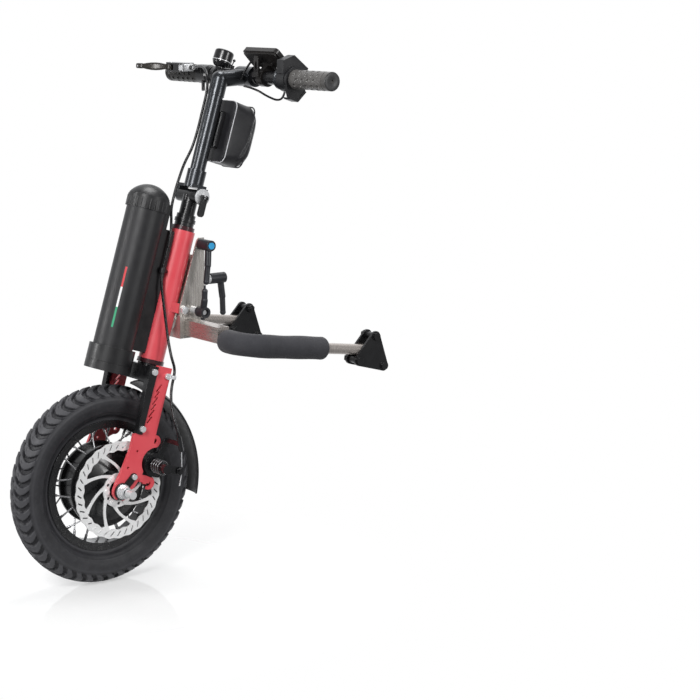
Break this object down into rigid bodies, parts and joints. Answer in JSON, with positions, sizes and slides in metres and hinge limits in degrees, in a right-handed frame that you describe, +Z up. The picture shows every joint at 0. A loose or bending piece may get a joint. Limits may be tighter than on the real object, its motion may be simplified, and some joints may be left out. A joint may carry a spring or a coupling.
{
  "type": "wheelchair power assist",
  "caption": "Clip-on powered front wheel for a wheelchair, with hub motor, disc brake, steering stem, handlebar, battery cylinder and a pair of padded docking arms.",
  "frame": {"origin": "where the tyre meets the ground, below the middle of the wheel", "axes": "+Z up, +X towards the rider's left (the side of the brake disc), -Y forward, +Y towards the wheelchair"},
  "size_m": [0.4664, 0.6089, 0.8601],
  "materials": {
    "red_paint": "satin",
    "black_paint": "satin",
    "black_alloy": "satin anodised",
    "dark_ring": "gloss",
    "silver_steel": "polished",
    "disc_steel": "brushed",
    "dock_steel": "brushed",
    "arm_steel": "brushed",
    "steerer_steel": "plain",
    "spring_steel": "blackened",
    "bearing_steel": "ground",
    "magnet_steel": "plated",
    "stator_steel": "laminated",
    "tyre_rubber": "matte",
    "grip_rubber": "matte",
    "cable_rubber": "satin",
    "foam": "matte foam",
    "matte_black": "matte",
    "battery_black": "fine matte",
    "cap_black": "semi-gloss",
    "display_black": "semi-gloss",
    "lever_grey": "matte",
    "button_blue": "gloss",
    "button_grey": "matte",
    "cell_blue": "shrink wrap",
    "pouch_fabric": "woven"
  },
  "bodies": {
    "frame": {"head_tube": "red_paint", "headset_cups": "dark_ring", "battery_rail": "matte_black", "battery_case": "battery_black", "battery_top_cap": "cap_black", "battery_foot": "cap_black", "battery_cells": "cell_blue", "dock_pivot_bolt": "silver_steel", "cable_clip": "matte_black"},
    "dock": {"dock_channel": "dock_steel", "arm_socket": "dock_steel", "lever_studs": "silver_steel"},
    "upper_lever": {"upper_lever": "lever_grey"},
    "rear_lever": {"rear_lever": "lever_grey"},
    "lower_lever": {"lower_lever": "lever_grey"},
    "upper_button": {"upper_button": "button_blue"},
    "rear_button": {"rear_button": "button_blue"},
    "left_arm": {"left_arm_tube": "arm_steel", "left_foam": "foam", "left_clamp": "black_alloy"},
    "right_arm": {"right_arm_tube": "arm_steel", "right_foam": "foam", "right_clamp": "black_alloy"},
    "steer": {"steerer_tube": "steerer_steel", "lower_stem": "black_alloy", "fork_crown": "black_paint", "fork_plates": "red_paint", "fork_struts": "black_paint", "fork_fasteners": "silver_steel", "axle": "silver_steel", "motor_stator": "stator_steel", "mudguard": "matte_black", "caliper_body": "black_alloy", "brake_cable_lower": "cable_rubber"},
    "caliper_arm": {"caliper_arm": "black_alloy", "caliper_spring": "spring_steel"},
    "wheel": {"tyre": "tyre_rubber", "rim": "black_alloy", "spokes": "spring_steel", "hub_shell": "black_alloy", "hub_cover": "black_alloy", "motor_magnets": "magnet_steel", "hub_bearings": "bearing_steel", "brake_rotor": "disc_steel"},
    "upper": {"stem_tube": "black_alloy", "tilt_bolt": "silver_steel", "handlebar": "black_alloy", "grips": "grip_rubber", "brake_perch": "black_alloy", "throttle_body": "matte_black", "display": "display_black", "bell": "black_alloy", "pouch": "pouch_fabric", "bar_leads": "cable_rubber", "brake_cable_upper": "cable_rubber"},
    "qr_lever": {"qr_lever": "matte_black"},
    "brake_lever": {"brake_lever": "black_alloy"},
    "throttle_paddle": {"throttle_paddle": "matte_black"},
    "display_button": {"display_button": "button_grey"},
    "bell_striker": {"bell_striker": "matte_black"}
  },
  "joints": [
    {"name": "steering", "type": "hinge", "parent": "frame", "child": "steer", "pos_m": [0, 0.03877, 0.163], "axis": [0, 0.299, 0.9542], "range_deg": [-22, 22], "deforming": ["brake_cable_upper", "brake_cable_lower"]},
    {"name": "wheel_spin", "type": "hinge", "parent": "steer", "child": "wheel", "pos_m": [0, 0, 0.163], "axis": [1, 0, 0], "continuous": true},
    {"name": "bar_tilt", "type": "hinge", "parent": "steer", "child": "upper", "pos_m": [0, 0.18202, 0.62008], "axis": [1, 0, 0], "range_deg": [-20, 35], "deforming": ["brake_cable_upper"]},
    {"name": "qr_swing", "type": "hinge", "parent": "upper", "child": "qr_lever", "pos_m": [0.0385, 0.18202, 0.62008], "axis": [0, -0.9542, 0.299], "range_deg": [0, 100]},
    {"name": "brake_pull", "type": "hinge", "parent": "upper", "child": "brake_lever", "pos_m": [-0.164, 0.25515, 0.8231], "axis": [0, 0, -1], "range_deg": [0, 18], "stiffness_Nm_per_rad": 0.8},
    {"name": "caliper_pull", "type": "hinge", "parent": "steer", "child": "caliper_arm", "pos_m": [0.1, 0.06108, 0.1974], "axis": [1, 0, 0], "range_deg": [0, 16], "stiffness_Nm_per_rad": 0.6, "deforming": ["brake_cable_lower"]},
    {"name": "throttle_push", "type": "hinge", "parent": "upper", "child": "throttle_paddle", "pos_m": [0.13, 0.29815, 0.8111], "axis": [-1, 0, 0], "range_deg": [0, 25], "stiffness_Nm_per_rad": 0.25},
    {"name": "display_press", "type": "slide", "parent": "upper", "child": "display_button", "axis": [0, -0.7193, -0.6947], "range_m": [0, 0.0012], "stiffness_N_per_m": 900},
    {"name": "bell_snap", "type": "hinge", "parent": "upper", "child": "bell_striker", "pos_m": [-0.068, 0.31343, 0.82488], "axis": [0, -0.9272, 0.3746], "range_deg": [0, 18], "stiffness_Nm_per_rad": 0.05},
    {"name": "dock_swing", "type": "hinge", "parent": "frame", "child": "dock", "pos_m": [0, 0.14797, 0.43688], "axis": [1, 0, 0], "range_deg": [-4, 4]},
    {"name": "upper_lever_turn", "type": "hinge", "parent": "dock", "child": "upper_lever", "pos_m": [0.0433, 0.18097, 0.54288], "axis": [1, 0, 0], "range_deg": [0, 120]},
    {"name": "rear_lever_turn", "type": "hinge", "parent": "dock", "child": "rear_lever", "pos_m": [0, 0.2323, 0.47888], "axis": [0, 1, 0], "range_deg": [-90, 90]},
    {"name": "lower_lever_turn", "type": "hinge", "parent": "dock", "child": "lower_lever", "pos_m": [0.052, 0.16697, 0.43488], "axis": [1, 0, 0], "range_deg": [0, 100]},
    {"name": "upper_press", "type": "slide", "parent": "upper_lever", "child": "upper_button", "axis": [-1, 0, 0], "range_m": [0, 0.0015], "stiffness_N_per_m": 900},
    {"name": "rear_press", "type": "slide", "parent": "rear_lever", "child": "rear_button", "axis": [0, -1, 0], "range_m": [0, 0.0015], "stiffness_N_per_m": 900},
    {"name": "left_arm_slide", "type": "slide", "parent": "dock", "child": "left_arm", "axis": [1, 0, 0], "range_m": [-0.004, 0.012]},
    {"name": "right_arm_slide", "type": "slide", "parent": "dock", "child": "right_arm", "axis": [-1, 0, 0], "range_m": [-0.004, 0.012]}
  ],
  "couplings": [
    {"joint": "caliper_pull", "follows": "brake_pull", "ratio": 0.8}
  ]
}
